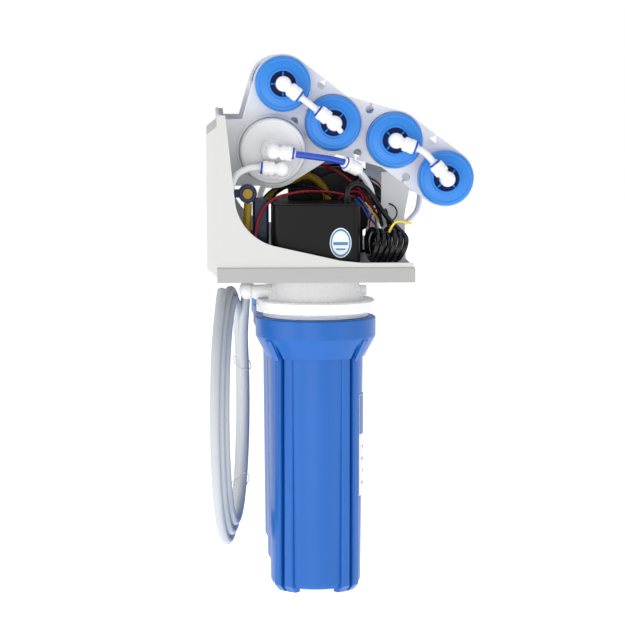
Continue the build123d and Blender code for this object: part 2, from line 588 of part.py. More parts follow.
def coil_ties():
    """Clear ties round the coil's strands."""
    made = []
    for z in (-212.0, -342.0):
        half = 88.5 * math.sqrt(1 - ((z + 270.5) / 123.7) ** 2)
        x = -84.0 + 0.9902 * half
        y = -23.0 - 0.1400 * half
        slab = block(-18.8, 18.8, -11.0, 11.0, -1, 1)
        tie = slab - block(-17.8, 17.8, -10.0, 10.0, -2, 2)
        made.append(Pos(x, y, z) * Rot(0, 0, -8.05) * tie)
    return made


os.makedirs("parts", exist_ok=True)

save("back_plate", back_plate())
save("tray", tray())
near_panel = side_panel()
save("side_panel_near", near_panel)
save("side_panel_far", mirrored(near_panel))
near_upright = upright()
save("uprights", near_upright, mirrored(near_upright))
save("screws", *screws())
near_clip = clip_plate()
save("clip_plate_near", near_clip)
save("clip_plate_far", mirrored(near_clip))

for number, housing_x in enumerate(HOUSING_X, start=1):
    body = head(housing_x)
    for side in (-1, 1):
        if abs(housing_x + side * PITCH) < PITCH + 1:
            body -= disc_x(housing_x + side * 42.4 - 10, housing_x + side * 42.4 + 10, HOUSING_Y, -141.0, 8.1)
    save(f"head_{number}", body)
    save(f"sump_{number}", sump(housing_x))
    seal = Pos(housing_x, HOUSING_Y, O_RING_Z) * Torus(O_RING_R, O_RING_SECTION)
    save(f"sump_o_ring_{number}", seal)
    save(f"cartridge_{number}", cartridge(housing_x))
save("head_couplers", coupler(-PITCH / 2), coupler(PITCH / 2))
save("sump_label", label_patch())
save("hose_elbow", hose_elbow())

near_caps = []
for number, (y, z) in enumerate(FILTERS, start=1):
    save(f"filter_body_{number}", filter_body(y, z))
    near_caps.append(filter_cap(y, z, 0 if number == 1 else 45))
save("filter_caps_near", *near_caps)
save("filter_caps_far", *[mirrored(cap) for cap in near_caps])
save("membrane_housing", membrane_housing())
save("membrane_cap", membrane_cap())
save("filter_media", *[disc_x(-126, 126, y, z, FILTER_R - 2.8) for y, z in FILTERS], membrane_element())

F1, F2, F3, F4 = FILTERS
BRINE = (-72.9, -23.1)
DOWN, UP_BACK = Vector(0, 0, -1), Vector(0, 0.5, 0.866)
DIR_3, DIR_4 = below(20), Vector(0, math.cos(math.radians(50)), math.sin(math.radians(50)))
DIR_PURE, DIR_BRINE = Vector(0, -0.992, -0.126), Vector(0, 0.995, 0.1)
ELBOWS_NEAR = ((F1, toward(F1, F2)), (F2, toward(F2, F1)), (F3, DIR_3), (F4, DIR_4), (MEMBRANE, DIR_PURE),
               (BRINE, DIR_BRINE))
ELBOWS_FAR = ((F1, UP_BACK), (F2, toward(F2, F3)), (F3, toward(F3, F2)), (F4, DOWN), (MEMBRANE, DOWN))
save("elbows_near", *[elbow(c, -ELBOW_X, d) for c, d in ELBOWS_NEAR])
save("pure_water_elbow", elbow(F1, ELBOW_X, UP_BACK))
save("elbows_far", *[elbow(c, ELBOW_X, d) for c, d in ELBOWS_FAR[1:]])
all_elbows = [(c, -ELBOW_X, d) for c, d in ELBOWS_NEAR] + [(c, ELBOW_X, d) for c, d in ELBOWS_FAR]
save("lock_clips", *[lock_clip(*row) for row in all_elbows])
links = [link("link 1-2", F1, toward(F1, F2), F2, toward(F2, F1), -ELBOW_X),
         link("link 3-4", F3, DIR_3, F4, DIR_4, -ELBOW_X),
         link("link 2-3", F2, toward(F2, F3), F3, toward(F3, F2), ELBOW_X)]

pure_mouth = mouth(MEMBRANE, -ELBOW_X, DIR_PURE) - DIR_PURE * 12
save("blue_tube", tube("blue", [tuple(pure_mouth), (-160, -100, -9.9), (-163, -126, -9.3),
                                (-155.2, -133.8, -15.1)], 2 * TUBE_R))
save("union_fitting", union_fitting())
ROUTES = {
    "switch tube": ((-146, -143, -21.8), (-137, -152, -28.4), (-128, -160, -40), (-121, -163, -50),
                    (-105, -163, -50)),
    "brine tube": ((-160, -62.9, -22.1), (-160, -44, -20.2), (-164, -28, -27), (-170, -22, -46),
                   (-171, -22, -74), (-171, -22, -116.9)),
    "feed tube": ((-44, -87, -57), (-44, -76, -57), (-34, -65, -59.5), (-6, -58.5, -63), (50, -57, -64),
                  (100, -57, -64), (136, -58, -62), (156, -62, -54), (160, -64.3, -40), (160, -64.3, -18)),
    "outlet tube": ((-85, -163, -50), (-69, -163, -50), (-45, -169, -57), (-17, -175, -77), (15, -178, -92),
                    (50, -181, -99), (82, -187, -101), (108, -199, -100), (132, -216, -94),
                    (151, -230, -82), (160, -233.7, -66), (160, -233.7, -44)),
}
save("white_tubes", *links, *[tube(name, route, 2 * TUBE_R) for name, route in ROUTES.items()])

save("pump_head", pump_head())
save("pump_motor_can", pump_motor_can())
save("pump_rotor", pump_rotor())
save("pump_bracket", pump_bracket())
save("transformer_case", transformer_case())
save("transformer_core", transformer_core())
save("transformer_sticker", transformer_sticker())
save("valve_body", solenoid_body())
save("valve_plunger", rod((VALVE_X, VALVE_Y, SHELF_Z + 10.2), (VALVE_X, VALVE_Y, SHELF_Z + 22.0), 4.0))
save("pressure_switch_low", valve_box())
save("hose_collar", switch_collar())
save("pressure_switch_high", high_switch())
save("pump_hoses",
     tube("yellow arch", [(VALVE_X, VALVE_Y, -85.4), (-84, -50, -68), (-81, -62, -52), (-79, -80, -40), (-77, -100, -30),
                          (-76, -116, -41), (-75.2, -122, -59), (-75.2, -122, -76)], YELLOW_D),
     tube("yellow drop", [(-161, -40, -55.4), (-161, -39, -82), (-160, -40, -113)], YELLOW_D))
save("wires",
     tube("red low", [(-172, -50, -113.5), (-172, -46, -90), (-168, -51, -64), (-158, -66, -49.5), (-142, -94, -44.5),
                      (-127, -122, -46), (-112, -146, -52)], WIRE_D),
     tube("red high", [(-50, -97, -23.6), (-54, -106, -19), (-62, -122, -16), (-74, -142, -21), (-88, -153, -29)],
          WIRE_D))
save("wire_connector", connector())

save("mains_lead", tube("mains lead", LEAD_ROUTE, LEAD_D), tube("plug lead", PLUG_ROUTE, LEAD_D))
save("mains_hank", hank_block(HANK_X0, HANK_X1, HANK_Y, HANK_Z, HANK_HALF_Y, HANK_HALF_Z, 12.0))
save("mains_plug", plug())
save("supply_hose", tube("supply hose", HOSE_ROUTE, HOSE_D))
save("supply_hose_coil", hose_coil())
save("coil_ties", *coil_ties())
print(len(os.listdir("parts")), "nodes")
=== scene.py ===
"""Wall-hung reverse osmosis unit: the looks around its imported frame, in metres."""
import json
import logging
import math
from dataclasses import dataclass, field
from enum import Enum
from typing import Sequence

import bmesh
import bpy
from mathutils import Matrix, Vector

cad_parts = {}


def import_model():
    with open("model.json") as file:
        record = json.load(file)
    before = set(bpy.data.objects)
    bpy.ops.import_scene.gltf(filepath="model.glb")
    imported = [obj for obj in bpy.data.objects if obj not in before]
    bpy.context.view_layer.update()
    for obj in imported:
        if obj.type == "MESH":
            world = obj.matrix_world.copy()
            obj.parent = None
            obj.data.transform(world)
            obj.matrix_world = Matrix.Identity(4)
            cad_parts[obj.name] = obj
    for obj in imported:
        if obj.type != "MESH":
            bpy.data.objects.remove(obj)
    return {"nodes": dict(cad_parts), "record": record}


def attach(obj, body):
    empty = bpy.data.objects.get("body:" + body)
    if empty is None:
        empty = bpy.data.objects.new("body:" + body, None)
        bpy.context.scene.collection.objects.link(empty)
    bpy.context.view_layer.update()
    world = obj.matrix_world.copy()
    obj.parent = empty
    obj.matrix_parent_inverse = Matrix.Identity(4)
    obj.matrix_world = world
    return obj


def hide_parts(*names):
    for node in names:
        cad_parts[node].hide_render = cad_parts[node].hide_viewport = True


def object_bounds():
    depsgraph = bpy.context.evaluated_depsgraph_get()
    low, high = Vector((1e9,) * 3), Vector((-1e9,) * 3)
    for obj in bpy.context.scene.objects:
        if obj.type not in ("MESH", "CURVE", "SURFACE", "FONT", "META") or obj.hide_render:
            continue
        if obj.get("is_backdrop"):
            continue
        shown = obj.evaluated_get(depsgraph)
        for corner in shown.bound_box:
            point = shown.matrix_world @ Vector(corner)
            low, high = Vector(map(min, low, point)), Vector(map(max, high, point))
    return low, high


LOG = logging.getLogger("ro_unit")
MM = 0.001
Point = tuple[float, float, float]
Pair = tuple[float, float]
Places = Sequence[tuple[Sequence[float], Sequence[float]]]
TOWARDS_NEAR_END = (-1, 0, 0)
TOWARDS_FAR_END = (1, 0, 0)
UPWARDS = (0, 0, 1)
FINE_FACETS = 96
SMOOTH_EDGE_DEGREES = 35.0
PRINT_THICKNESS = 0.12
DRIFT_SCALE = 14.0
RELIEF_DEPTH = 0.2 * MM
WHITE = (1.0, 1.0, 1.0, 1.0)


class Surface(Enum):
    """How the skin of a finish is broken up."""

    MOULDED = "moulded"
    GRAINED = "grained"
    POWDER_COAT = "powder coat"
    BRUSHED = "brushed"
    FIBRE = "fibre"
    FILM = "film"


@dataclass(frozen=True)
class Finish:
    """One finish of the unit: colours, gloss and the fine relief of its surface."""

    slot: str
    colour: Point
    shade: Point
    roughness: float
    surface: Surface = Surface.MOULDED
    metallic: float = 0.0
    coat: float = 0.0
    subsurface: float = 0.0
    transmission: float = 0.0
    relief: float = 0.12
    specular: float = 0.5

    def scales(self) -> tuple[float, float]:
        """Returns the pattern scale of the fine relief and of the slow colour drift."""
        fine = {Surface.MOULDED: 260.0, Surface.GRAINED: 1500.0, Surface.POWDER_COAT: 900.0,
                Surface.BRUSHED: 700.0, Surface.FIBRE: 600.0, Surface.FILM: 400.0}
        return fine[self.surface], DRIFT_SCALE

    def build(self, name: str) -> bpy.types.Material:
        """Builds the node material of this finish.

        Args:
            name: the material's name.

        Returns:
            The material, whose pattern reads Object coordinates.
        """
        material = bpy.data.materials.new(name)
        material.use_nodes = True
        nodes, links = material.node_tree.nodes, material.node_tree.links
        shader = nodes["Principled BSDF"]
        shader.inputs["Metallic"].default_value = self.metallic
        shader.inputs["Coat Weight"].default_value = self.coat
        shader.inputs["Coat Roughness"].default_value = 0.12
        shader.inputs["Transmission Weight"].default_value = self.transmission
        shader.inputs["Specular IOR Level"].default_value = self.specular
        if self.subsurface:
            shader.inputs["Subsurface Weight"].default_value = self.subsurface
            shader.inputs["Subsurface Radius"].default_value = (1.0, 1.0, 1.0)
            shader.inputs["Subsurface Scale"].default_value = 3.0 * MM
        fine_scale, slow_scale = self.scales()
        place = nodes.new("ShaderNodeTexCoord")
        mapping = nodes.new("ShaderNodeMapping")
        if self.surface is Surface.BRUSHED:
            mapping.inputs["Scale"].default_value = (0.04, 1.0, 1.0)
        if self.surface is Surface.FIBRE:
            mapping.inputs["Scale"].default_value = (0.3, 0.3, 1.6)
        links.new(place.outputs["Object"], mapping.inputs["Vector"])
        slow = nodes.new("ShaderNodeTexNoise")
        slow.inputs["Scale"].default_value = slow_scale
        slow.inputs["Detail"].default_value = 3.0
        links.new(place.outputs["Object"], slow.inputs["Vector"])
        fine = nodes.new("ShaderNodeTexNoise")
        fine.inputs["Scale"].default_value = fine_scale
        fine.inputs["Detail"].default_value = 2.0
        links.new(mapping.outputs["Vector"], fine.inputs["Vector"])
        mix = nodes.new("ShaderNodeMix")
        mix.data_type = "RGBA"
        mix.inputs["A"].default_value = (*self.colour, 1.0)
        mix.inputs["B"].default_value = (*self.shade, 1.0)
        links.new(slow.outputs["Fac"], mix.inputs["Factor"])
        links.new(mix.outputs["Result"], shader.inputs["Base Color"])
        rough = nodes.new("ShaderNodeMapRange")
        rough.inputs["To Min"].default_value = max(0.03, self.roughness - 0.06)
        rough.inputs["To Max"].default_value = self.roughness + 0.06
        links.new(fine.outputs["Fac"], rough.inputs["Value"])
        links.new(rough.outputs["Result"], shader.inputs["Roughness"])
        bump = nodes.new("ShaderNodeBump")
        bump.inputs["Strength"].default_value = self.relief
        bump.inputs["Distance"].default_value = RELIEF_DEPTH
        links.new(fine.outputs["Fac"], bump.inputs["Height"])
        links.new(bump.outputs["Normal"], shader.inputs["Normal"])
        return material


FINISHES: dict[str, Finish] = {
    "painted_steel": Finish("painted_steel", (0.66, 0.66, 0.655), (0.62, 0.62, 0.615), 0.40,
                            Surface.POWDER_COAT, relief=0.10, specular=0.35),
    "screw_steel": Finish("screw_steel", (0.72, 0.72, 0.73), (0.60, 0.60, 0.62), 0.28, Surface.BRUSHED,
                          metallic=1.0),
    "rack_plastic": Finish("rack_plastic", (0.91, 0.92, 0.945), (0.87, 0.885, 0.92), 0.34, subsurface=0.10),
    "white_plastic": Finish("white_plastic", (0.94, 0.94, 0.945), (0.91, 0.91, 0.92), 0.28, coat=0.15,
                            relief=0.03),
    "blue_plastic": Finish("blue_plastic", (0.006, 0.132, 0.52), (0.005, 0.116, 0.46), 0.34, coat=0.06,
                           specular=0.40),
    "clip_blue": Finish("clip_blue", (0.016, 0.09, 0.58), (0.012, 0.07, 0.50), 0.22, coat=0.2),
    "tube_white": Finish("tube_white", (0.87, 0.89, 0.91), (0.83, 0.86, 0.88), 0.30, subsurface=0.12,
                         coat=0.15),
    "seal_rubber": Finish("seal_rubber", (0.03, 0.03, 0.03), (0.02, 0.02, 0.02), 0.6, Surface.GRAINED),
    "filter_media": Finish("filter_media", (0.86, 0.86, 0.82), (0.75, 0.75, 0.70), 0.9, Surface.FIBRE,
                           relief=0.6),
    "label_paper": Finish("label_paper", (0.86, 0.88, 0.90), (0.82, 0.85, 0.88), 0.35, Surface.FILM,
                          coat=0.2),
    "black_plastic": Finish("black_plastic", (0.0035, 0.0035, 0.004), (0.002, 0.002, 0.0025), 0.36,
                            Surface.GRAINED, specular=0.22),
    "motor_black": Finish("motor_black", (0.005, 0.005, 0.006), (0.003, 0.003, 0.0035), 0.34,
                          Surface.POWDER_COAT, specular=0.25),
    "steel": Finish("steel", (0.52, 0.52, 0.54), (0.42, 0.42, 0.44), 0.32, Surface.BRUSHED, metallic=1.0),
    "navy_plastic": Finish("navy_plastic", (0.008, 0.022, 0.085), (0.005, 0.014, 0.06), 0.30, coat=0.1,
                           specular=0.3),
    "yellow_hose": Finish("yellow_hose", (0.46, 0.30, 0.015), (0.36, 0.22, 0.010), 0.34, specular=0.35),
    "red_wire": Finish("red_wire", (0.42, 0.004, 0.022), (0.30, 0.002, 0.015), 0.28, coat=0.15,
                       specular=0.35),
    "connector_white": Finish("connector_white", (0.62, 0.72, 0.80), (0.52, 0.62, 0.72), 0.34,
                              subsurface=0.1),
    "lead_black": Finish("lead_black", (0.004, 0.004, 0.0045), (0.0025, 0.0025, 0.003), 0.28, coat=0.12,
                         specular=0.3),
}
EXTRA_FINISHES: dict[str, Finish] = {
    "tie_yellow": Finish("yellow_hose", (0.90, 0.70, 0.03), (0.80, 0.58, 0.02), 0.4),
    "wire_blue": Finish("clip_blue", (0.03, 0.14, 0.62), (0.02, 0.10, 0.50), 0.3),
    "cap_blue": Finish("blue_plastic", (0.030, 0.255, 0.78), (0.024, 0.225, 0.72), 0.30, coat=0.10,
                       specular=0.40),
    "label_blue": Finish("label_paper", (0.03, 0.16, 0.50), (0.02, 0.12, 0.42), 0.35, Surface.FILM),
    "label_grey": Finish("label_paper", (0.42, 0.46, 0.50), (0.36, 0.40, 0.44), 0.4, Surface.FILM),
    # pocket liners: dark blue as painted shade in the caps' recesses
    "pocket_painted_shade_blue": Finish("blue_plastic", (0.003, 0.014, 0.10), (0.002, 0.010, 0.08), 0.4, specular=0.2),
    "membrane_white": Finish("white_plastic", (0.80, 0.81, 0.83), (0.75, 0.76, 0.78), 0.24, coat=0.25,
                             subsurface=0.15),
    # tray: the same white powder coat, darker in colour as painted shade for its flanges
    "tray_steel_painted_shade": Finish("painted_steel", (0.45, 0.45, 0.445), (0.41, 0.41, 0.405), 0.40, Surface.POWDER_COAT,
                         relief=0.10, specular=0.35),
    # supply hose: the white tube's finish darkened as painted shade
    "hose_white_painted_shade": Finish("tube_white", (0.56, 0.59, 0.62), (0.50, 0.54, 0.58), 0.34, subsurface=0.10,
                         coat=0.10),
    "sticker_blue": Finish("label_paper", (0.06, 0.28, 0.52), (0.05, 0.24, 0.46), 0.35, Surface.FILM),
    "clear_tie": Finish("connector_white", (0.85, 0.88, 0.90), (0.80, 0.84, 0.88), 0.25, transmission=0.4),
}


class Palette:
    """Every finish of the unit as a material, made once."""

    def __init__(self) -> None:
        """Builds the materials."""
        both = {**FINISHES, **EXTRA_FINISHES}
        self._finish = both
        self._material = {name: finish.build(name) for name, finish in both.items()}

    def material(self, name: str) -> bpy.types.Material:
        """Returns the material of a finish."""
        return self._material[name]

    def dress(self, obj: bpy.types.Object, name: str) -> bpy.types.Object:
        """Gives a piece one finish.

        Args:
            obj: the piece.
            name: the finish.

        Returns:
            The piece.
        """
        obj.data.materials.clear()
        obj.data.materials.append(self._material[name])
        return obj


def new_object(name: str, data: bpy.types.ID) -> bpy.types.Object:
    """Returns a linked object at the origin that carries the data."""
    obj = bpy.data.objects.new(name, data)
    bpy.context.scene.collection.objects.link(obj)
    return obj


def metres(point: Sequence[float]) -> Vector:
    """Returns a point given in millimetres as metres."""
    return Vector(point) * MM


def axis_frame(origin: Sequence[float], axis: Sequence[float]) -> Matrix:
    """Builds the placing of a turned piece.

    Args:
        origin: its centre in millimetres.
        axis: the direction of its own Z.

    Returns:
        The 4x4 matrix in metres.
    """
    turn = Vector((0, 0, 1)).rotation_difference(Vector(axis).normalized()).to_matrix().to_4x4()
    return Matrix.Translation(metres(origin)) @ turn


def turned(name: str, profile: Sequence[Pair], places: Places, steps: int = 64) -> bpy.types.Object:
    """Builds the same turned solid at one or more places.

    Args:
        name: the piece's name.
        profile: (radius, height) pairs in millimetres; a closed ring repeats its first pair at the end,
            any other profile starts and ends on the axis.
        places: (origin, axis) of each, the origin in millimetres.
        steps: facets round the axis.

    Returns:
        The object, smooth where its profile is gentle.
    """
    bm = bmesh.new()
    is_ring = profile[0] == profile[-1]
    points = profile[:-1] if is_ring else profile
    for origin, axis in places:
        place = axis_frame(origin, axis)
        rows = []
        for radius, height in points:
            count = 1 if radius < 1e-6 else steps
            angles = [math.tau * k / steps for k in range(count)]
            rows.append([bm.verts.new(place @ Vector((radius * MM * math.cos(a), radius * MM * math.sin(a),
                                                      height * MM))) for a in angles])
        for low, high in zip(rows, rows[1:] + (rows[:1] if is_ring else [])):
            for k in range(steps):
                n = (k + 1) % steps
                if len(low) == 1:
                    bm.faces.new((low[0], high[n], high[k]))
                elif len(high) == 1:
                    bm.faces.new((low[k], low[n], high[0]))
                else:
                    bm.faces.new((low[k], low[n], high[n], high[k]))
    bmesh.ops.recalc_face_normals(bm, faces=bm.faces)
    return finish_mesh(name, bm)


def finish_mesh(name: str, bm: bmesh.types.BMesh, place: Matrix | None = None) -> bpy.types.Object:
    """Turns mesh code's result into an object, smooth where its edges are gentle.

    Args:
        name: the piece's name.
        bm: the mesh, freed here.
        place: where it goes.

    Returns:
        The linked object.
    """
    if place is not None:
        bmesh.ops.transform(bm, matrix=place, verts=bm.verts)
    for face in bm.faces:
        face.smooth = True
    limit = math.radians(SMOOTH_EDGE_DEGREES)
    for edge in bm.edges:
        edge.smooth = len(edge.link_faces) == 2 and edge.calc_face_angle(0.0) < limit
    mesh = bpy.data.meshes.new(name)
    bm.to_mesh(mesh)
    bm.free()
    return new_object(name, mesh)


def nurbs(name: str, points: Sequence[Sequence[float]], diameter: float) -> bpy.types.Object:
    """Builds a smooth cord of round section.

    Args:
        name: the piece's name.
        points: its control points in millimetres.
        diameter: in millimetres.

    Returns:
        The curve object.
    """
    curve = bpy.data.curves.new(name, "CURVE")
    curve.dimensions = "3D"
    curve.bevel_depth = diameter / 2 * MM
    curve.bevel_resolution = 6
    curve.resolution_u = 10
    curve.use_fill_caps = True
    spline = curve.splines.new("NURBS")
    spline.points.add(len(points) - 1)
    for slot, point in zip(spline.points, points):
        slot.co = (*(c * MM for c in point), 1.0)
    spline.order_u = 3
    spline.use_endpoint_u = True
    return new_object(name, curve)


def as_mesh(obj: bpy.types.Object, name: str) -> bpy.types.Object:
    """Replaces an object by the plain mesh of its evaluated self.

    Args:
        obj: a curve, or a mesh with live modifiers.
        name: the new object's name.

    Returns:
        The new mesh object.
    """
    graph = bpy.context.evaluated_depsgraph_get()
    mesh = bpy.data.meshes.new_from_object(obj.evaluated_get(graph))
    bpy.data.objects.remove(obj)
    mesh.name = name
    return new_object(name, mesh)


def tube(name: str, points: Sequence[Sequence[float]], diameter: float) -> bpy.types.Object:
    """Returns a fixed tube or wire as a mesh along a smooth line through millimetre points."""
    return as_mesh(nurbs(name + "_line", points, diameter), name)


class RibRings:
    """Geometry Nodes tree that sets a ring of small ribs or studs round every point it is given."""

    def __init__(self, name: str) -> None:
        """Builds the tree once, with named inputs for its sizes."""
        tree = bpy.data.node_groups.new(name, "GeometryNodeTree")
        face = tree.interface
        face.new_socket("Geometry", in_out="INPUT", socket_type="NodeSocketGeometry")
        face.new_socket("Geometry", in_out="OUTPUT", socket_type="NodeSocketGeometry")
        sockets = {"Count": ("NodeSocketInt", 12), "Ring radius": ("NodeSocketFloat", 0.007),
                   "Rib radius": ("NodeSocketFloat", 0.001), "Rib length": ("NodeSocketFloat", 0.008),
                   "Sides": ("NodeSocketInt", 8), "Radial": ("NodeSocketFloat", 0.0),
                   "Phase": ("NodeSocketFloat", 0.0), "Finish": ("NodeSocketMaterial", None)}
        self._ids = {}
        for label, (kind, value) in sockets.items():
            socket = face.new_socket(label, in_out="INPUT", socket_type=kind)
            if value is not None:
                socket.default_value = value
            self._ids[label] = socket.identifier
        nodes, links = tree.nodes, tree.links
        entry, leave = nodes.new("NodeGroupInput"), nodes.new("NodeGroupOutput")
        circle = nodes.new("GeometryNodeMeshCircle")
        links.new(entry.outputs["Count"], circle.inputs["Vertices"])
        links.new(entry.outputs["Ring radius"], circle.inputs["Radius"])
        stud = nodes.new("GeometryNodeMeshCylinder")
        links.new(entry.outputs["Sides"], stud.inputs["Vertices"])
        links.new(entry.outputs["Rib radius"], stud.inputs["Radius"])
        links.new(entry.outputs["Rib length"], stud.inputs["Depth"])
        outward = nodes.new("ShaderNodeMix")
        outward.data_type = "VECTOR"
        outward.inputs["A"].default_value = (0.0, 0.0, 1.0)
        where = nodes.new("GeometryNodeInputPosition")
        unit = nodes.new("ShaderNodeVectorMath")
        unit.operation = "NORMALIZE"
        links.new(where.outputs["Position"], unit.inputs[0])
        links.new(unit.outputs["Vector"], outward.inputs["B"])
        links.new(entry.outputs["Radial"], outward.inputs["Factor"])
        lean = nodes.new("FunctionNodeAlignRotationToVector")
        lean.axis = "Z"
        links.new(outward.outputs["Result"], lean.inputs["Vector"])
        ring = nodes.new("GeometryNodeInstanceOnPoints")
        links.new(lean.outputs["Rotation"], ring.inputs["Rotation"])
        links.new(circle.outputs["Mesh"], ring.inputs["Points"])
        links.new(stud.outputs["Mesh"], ring.inputs["Instance"])
        one_ring = nodes.new("GeometryNodeRealizeInstances")
        links.new(ring.outputs["Instances"], one_ring.inputs["Geometry"])
        spin = nodes.new("ShaderNodeCombineXYZ")
        links.new(entry.outputs["Phase"], spin.inputs["Z"])
        phased = nodes.new("GeometryNodeTransform")
        links.new(one_ring.outputs["Geometry"], phased.inputs["Geometry"])
        links.new(spin.outputs["Vector"], phased.inputs["Rotation"])
        direction = nodes.new("GeometryNodeInputNamedAttribute")
        direction.data_type = "FLOAT_VECTOR"
        direction.inputs["Name"].default_value = "direction"
        align = nodes.new("FunctionNodeAlignRotationToVector")
        align.axis = "Z"
        links.new(direction.outputs["Attribute"], align.inputs["Vector"])
        spread = nodes.new("GeometryNodeInstanceOnPoints")
        links.new(entry.outputs["Geometry"], spread.inputs["Points"])
        links.new(phased.outputs["Geometry"], spread.inputs["Instance"])
        links.new(align.outputs["Rotation"], spread.inputs["Rotation"])
        real = nodes.new("GeometryNodeRealizeInstances")
        links.new(spread.outputs["Instances"], real.inputs["Geometry"])
        paint = nodes.new("GeometryNodeSetMaterial")
        links.new(real.outputs["Geometry"], paint.inputs["Geometry"])
        links.new(entry.outputs["Finish"], paint.inputs["Material"])
        links.new(paint.outputs["Geometry"], leave.inputs["Geometry"])
        self._tree = tree

    def make(self, name: str, places: Places, finish: bpy.types.Material, **sizes: float) -> bpy.types.Object:
        """Makes the rings as one plain mesh.

        Args:
            name: the piece's name.
            places: (centre in millimetres, axis) of each ring.
            finish: the material.
            sizes: count, ring_radius, rib_radius, rib_length, sides, radial (1 for spokes) and phase in
                degrees; lengths in millimetres.

        Returns:
            The mesh object.
        """
        mesh = bpy.data.meshes.new(name + "_points")
        mesh.from_pydata([metres(p) for p, _ in places], [], [])
        layer = mesh.attributes.new("direction", "FLOAT_VECTOR", "POINT")
        for entry, (_, axis) in zip(layer.data, places):
            entry.vector = Vector(axis).normalized()
        holder = new_object(name + "_points", mesh)
        modifier = holder.modifiers.new("rings", "NODES")
        modifier.node_group = self._tree
        modifier[self._ids["Count"]] = int(sizes["count"])
        modifier[self._ids["Sides"]] = int(sizes.get("sides", 8))
        for label in ("Ring radius", "Rib radius", "Rib length"):
            modifier[self._ids[label]] = sizes[label.lower().replace(" ", "_")] * MM
        modifier[self._ids["Radial"]] = float(sizes.get("radial", 0.0))
        modifier[self._ids["Phase"]] = math.radians(sizes.get("phase", 0.0))
        modifier[self._ids["Finish"]] = finish
        piece = as_mesh(holder, name)
        for polygon in piece.data.polygons:
            polygon.use_smooth = len(polygon.vertices) == 4
        return piece


@dataclass
class Chassis:
    """Back plate, tray, side panels, uprights and their screws."""

    palette: Palette
    frame_nodes: dict[str, bpy.types.Object]
    nodes: tuple[str, ...] = ("back_plate", "tray", "side_panel_near", "side_panel_far", "uprights", "screws")

    def build(self) -> None:
        """Keeps the folded sheet's shapes and gives the tray a darker copy of the paint: painted shade on its
        flanges.
        """
        self.palette.dress(self.frame_nodes["tray"], "tray_steel_painted_shade")
        for node in self.nodes:
            LOG.info("%s carried over", node)


@dataclass
class Housings:
    """The three heads, their sumps and what shows in the gap between them."""

    palette: Palette
    rings: RibRings
    xs: tuple[float, ...] = (-125.0, 0.0, 125.0)
    y: float = -107.0
    gap: tuple[float, float] = (-167.9, -163.1)
    thread_radius: float = 52.0
    thread_root: float = 1.4
    thread_turns: int = 3
    seat_bore: float = 49.3
    label_radius: float = 47.14
    label_half_width: float = 20.6
    header: Pair = (-284.0, -245.6)
    bar_half_widths: tuple[float, ...] = (14.0, 16.0, 11.0, 15.0)
    bar_top: float = -296.0
    bar_pitch: float = 12.0
    bar_height: float = 2.2

    def thread_ring(self, index: int, x: float) -> bpy.types.Object:
        """Builds the grooved seat that shows between head and collar.

        Args:
            index: the housing's number from 1.
            x: its place along the row.

        Returns:
            The ring, which rides on the root.
        """
        low, high = self.gap
        profile = [(self.seat_bore, low)]
        step = (high - low) / self.thread_turns
        for k in range(self.thread_turns):
            base = low + step * k
            profile += [(self.thread_radius, base + 0.15 * step), (self.thread_radius, base + 0.55 * step),
                        (self.thread_radius - self.thread_root, base + 0.75 * step)]
        profile += [(self.seat_bore, high), (self.seat_bore, low)]
        piece = turned(f"thread_seat_{index}", profile, [((x, self.y, 0.0), UPWARDS)], FINE_FACETS)
        self.palette.dress(piece, "rack_plastic")
        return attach(piece, "root")

    def label_patch(self, name: str, finish: str, half_width: float, heights: Pair) -> bpy.types.Object:
        """Builds a thin printed patch that hugs the first sump's front.

        Args:
            name: the piece's name.
            finish: its finish.
            half_width: half its width along the row, about the sump's middle.
            heights: its lower and upper edge.

        Returns:
            The patch, which rides on the first sump.
        """
        bm = bmesh.new()
        columns = 24
        rows = []
        for reach in (self.label_radius, self.label_radius + PRINT_THICKNESS):
            for height in heights:
                row = []
                for k in range(columns + 1):
                    turn = math.asin((2 * k / columns - 1) * half_width / self.label_radius)
                    row.append(bm.verts.new(metres((self.xs[0] + reach * math.sin(turn),
                                                    self.y - reach * math.cos(turn), height))))
                rows.append(row)
        for low, high in ((0, 1), (2, 3), (0, 2), (1, 3)):
            for k in range(columns):
                bm.faces.new((rows[low][k], rows[low][k + 1], rows[high][k + 1], rows[high][k]))
        for k in (0, columns):
            bm.faces.new((rows[0][k], rows[1][k], rows[3][k], rows[2][k]))
        bmesh.ops.recalc_face_normals(bm, faces=bm.faces)
        piece = finish_mesh(name, bm)
        self.palette.dress(piece, finish)
        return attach(piece, "sump_1")

    def build(self) -> None:
        """Builds what the housings show beyond the frame's own solids."""
        for index, x in enumerate(self.xs, 1):
            LOG.info("%s built", self.thread_ring(index, x).name)
        self.label_patch("label_header", "label_blue", self.label_half_width, self.header)
        for row, width in enumerate(self.bar_half_widths):
            top = self.bar_top - self.bar_pitch * row
            self.label_patch(f"label_bar_{row + 1}", "label_grey", width, (top - self.bar_height, top))
        LOG.info("label built")


